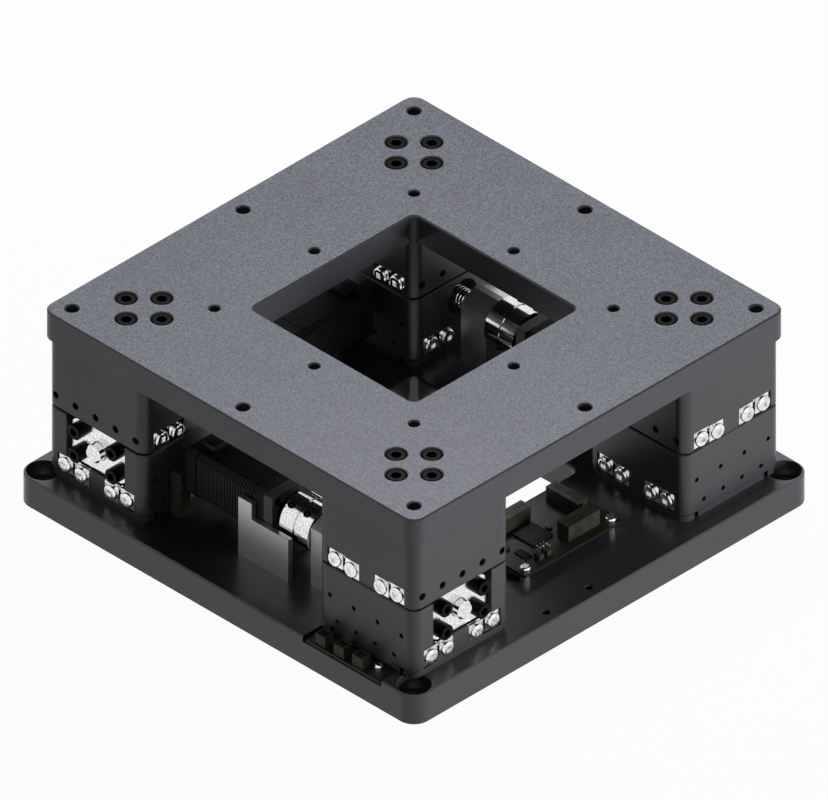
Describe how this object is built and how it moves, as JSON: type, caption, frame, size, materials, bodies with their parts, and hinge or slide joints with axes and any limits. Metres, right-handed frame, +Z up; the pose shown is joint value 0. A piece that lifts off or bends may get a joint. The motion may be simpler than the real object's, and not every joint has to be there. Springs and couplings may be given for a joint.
{
  "type": "xxy alignment stage",
  "caption": "Square XXY alignment stage: a windowed table on four corner stacks of crossed roller slides and pivots, driven by ball screws.",
  "frame": {"origin": "centre of the base plate's underside", "axes": "+Z up through the table; X along the paired drives, Y along the single drive; the front stack is at +X, -Y"},
  "size_m": [0.28, 0.28, 0.1165],
  "materials": {
    "anodised_table": "grey-black anodised, satin",
    "anodised_base": "black anodised, satin",
    "anodised_block": "black anodised, satin",
    "bright_steel": "bright ground steel",
    "black_screws": "black oxide",
    "light_plate": "clear anodised",
    "motor_body": "satin black",
    "board": "dark solder mask",
    "connector": "moulded plastic"
  },
  "bodies": {
    "base": {"base_plate": "anodised_base", "position_plates": "light_plate", "control_board": "board", "standoffs": "bright_steel", "board_connectors": "connector", "board_screws": "bright_steel", "edge_board": "board", "edge_sockets": "connector", "guide_base_left": "anodised_block", "guide_base_front": "anodised_block", "guide_base_right": "anodised_block", "guide_base_back": "anodised_block", "base_rails_left": "bright_steel", "base_rails_front": "bright_steel", "base_rails_right": "bright_steel", "base_rails_back": "bright_steel", "screw_bearing_left": "light_plate", "motor_mount_left": "anodised_block", "motor_left": "motor_body", "screw_bearing_front": "light_plate", "motor_mount_front": "anodised_block", "motor_front": "motor_body", "screw_bearing_back": "light_plate", "motor_mount_back": "anodised_block", "motor_back": "motor_body"},
    "table": {"table_plate": "anodised_table", "table_screws": "black_screws", "pivot_hub_left": "bright_steel", "pivot_hub_front": "bright_steel", "pivot_hub_right": "bright_steel", "pivot_hub_back": "bright_steel"},
    "left_lower": {"lower_block_left": "anodised_block", "lower_rails_left": "bright_steel", "ball_nut_left": "bright_steel", "nut_screws_left": "black_screws"},
    "left_upper": {"upper_block_left": "anodised_block", "upper_rails_left": "bright_steel", "bearing_ring_left": "bright_steel"},
    "front_lower": {"lower_block_front": "anodised_block", "lower_rails_front": "bright_steel", "ball_nut_front": "bright_steel", "nut_screws_front": "black_screws"},
    "front_upper": {"upper_block_front": "anodised_block", "upper_rails_front": "bright_steel", "bearing_ring_front": "bright_steel"},
    "right_lower": {"lower_block_right": "anodised_block", "lower_rails_right": "bright_steel"},
    "right_upper": {"upper_block_right": "anodised_block", "upper_rails_right": "bright_steel", "bearing_ring_right": "bright_steel"},
    "back_lower": {"lower_block_back": "anodised_block", "lower_rails_back": "bright_steel", "ball_nut_back": "bright_steel", "nut_screws_back": "black_screws"},
    "back_upper": {"upper_block_back": "anodised_block", "upper_rails_back": "bright_steel", "bearing_ring_back": "bright_steel"},
    "left_screw": {"ball_screw_left": "bright_steel"},
    "front_screw": {"ball_screw_front": "bright_steel"},
    "back_screw": {"ball_screw_back": "bright_steel"}
  },
  "joints": [
    {"name": "shift_x", "type": "slide", "parent": "base", "child": "front_lower", "axis": [1, 0, 0], "range_m": [-0.005, 0.005]},
    {"name": "shift_y", "type": "slide", "parent": "front_lower", "child": "front_upper", "axis": [0, 1, 0], "range_m": [-0.005, 0.005]},
    {"name": "turn_table", "type": "hinge", "parent": "front_upper", "child": "table", "pos_m": [0.09475, -0.09475, 0.0787], "axis": [0, 0, 1], "range_deg": [-1, 1]},
    {"name": "right_lower_slide", "type": "slide", "parent": "base", "child": "right_lower", "axis": [0, 1, 0], "range_m": [-0.005, 0.005]},
    {"name": "left_lower_slide", "type": "slide", "parent": "right_lower", "child": "left_lower", "axis": [0, 1, 0], "range_m": [-0.0035, 0.0035]},
    {"name": "back_lower_slide", "type": "slide", "parent": "front_lower", "child": "back_lower", "axis": [1, 0, 0], "range_m": [-0.0035, 0.0035]},
    {"name": "left_pivot", "type": "hinge", "parent": "table", "child": "left_upper", "pos_m": [-0.09475, -0.09475, 0.0787], "axis": [0, 0, 1], "range_deg": [-1, 1]},
    {"name": "right_pivot", "type": "hinge", "parent": "table", "child": "right_upper", "pos_m": [0.09475, 0.09475, 0.0787], "axis": [0, 0, 1], "range_deg": [-1, 1]},
    {"name": "back_pivot", "type": "hinge", "parent": "table", "child": "back_upper", "pos_m": [-0.09475, 0.09475, 0.0787], "axis": [0, 0, 1], "range_deg": [-1, 1]},
    {"name": "front_screw_spin", "type": "hinge", "parent": "base", "child": "front_screw", "pos_m": [0, -0.09475, 0.0455], "axis": [1, 0, 0], "range_deg": [-905, 905]},
    {"name": "back_screw_spin", "type": "hinge", "parent": "base", "child": "back_screw", "pos_m": [0, 0.09475, 0.0455], "axis": [1, 0, 0], "range_deg": [-905, 905]},
    {"name": "left_screw_spin", "type": "hinge", "parent": "base", "child": "left_screw", "pos_m": [-0.09475, 0, 0.0455], "axis": [0, 1, 0], "range_deg": [-905, 905]}
  ],
  "couplings": [
    {"joint": "right_lower_slide", "follows": "shift_y", "ratio": 1},
    {"joint": "left_lower_slide", "follows": "turn_table", "m_per_rad": -0.1895},
    {"joint": "back_lower_slide", "follows": "turn_table", "m_per_rad": -0.1895},
    {"joint": "left_pivot", "follows": "turn_table", "ratio": -1},
    {"joint": "right_pivot", "follows": "turn_table", "ratio": -1},
    {"joint": "back_pivot", "follows": "turn_table", "ratio": -1},
    {"joint": "front_screw_spin", "follows": "shift_x", "rad_per_m": -3141.6},
    {"joint": "back_screw_spin", "follows": "shift_x", "rad_per_m": -3141.6},
    {"joint": "left_screw_spin", "follows": "shift_y", "rad_per_m": -3141.6}
  ]
}
